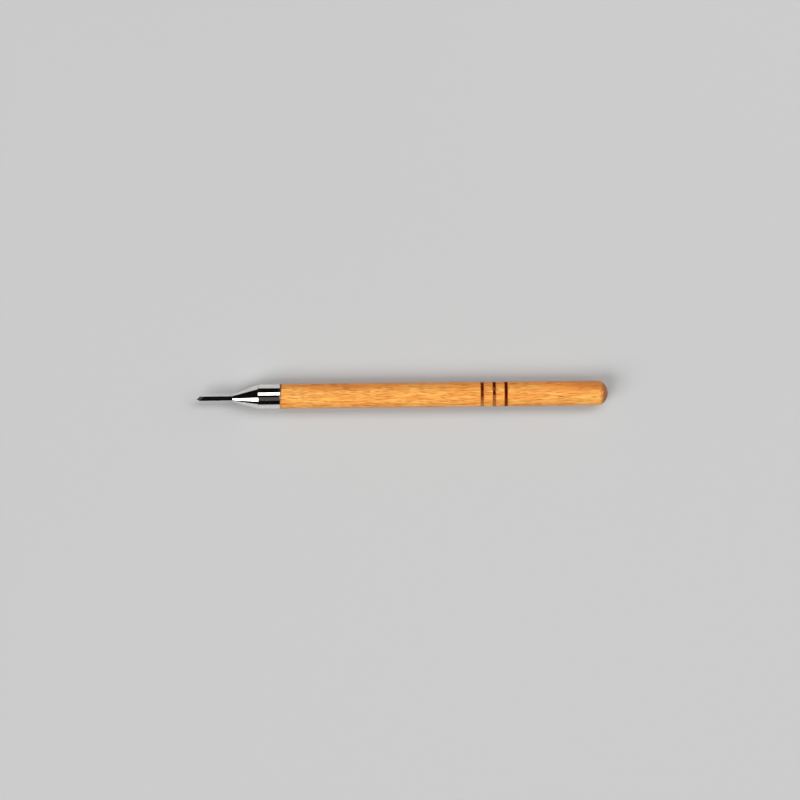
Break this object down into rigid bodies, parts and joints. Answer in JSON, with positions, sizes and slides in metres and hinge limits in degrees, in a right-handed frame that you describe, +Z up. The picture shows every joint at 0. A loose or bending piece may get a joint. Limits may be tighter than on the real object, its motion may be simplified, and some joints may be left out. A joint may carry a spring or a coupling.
{
  "type": "lino cutter",
  "caption": "Small fixed-blade lino cutter: a V-gouge in a polished conical metal ferrule on a slim round hardwood handle with burnt rings and a domed end.",
  "frame": {"origin": "on the table plane z = 0, below the middle of the overall length; the tool lies on its side", "axes": "+X along the handle towards its domed end (the cutting edge points to -X), +Y the side the gouge's flute opens to, +Z up"},
  "size_m": [0.1672, 0.01, 0.01],
  "materials": {
    "beech": "satin",
    "nickel_plate": "polished",
    "black_steel": "satin",
    "epoxy": "gloss"
  },
  "bodies": {
    "root": {"handle": "beech", "ferrule": "nickel_plate", "cutter": "black_steel", "tang_adhesive": "epoxy", "ferrule_adhesive": "epoxy"}
  },
  "joints": []
}
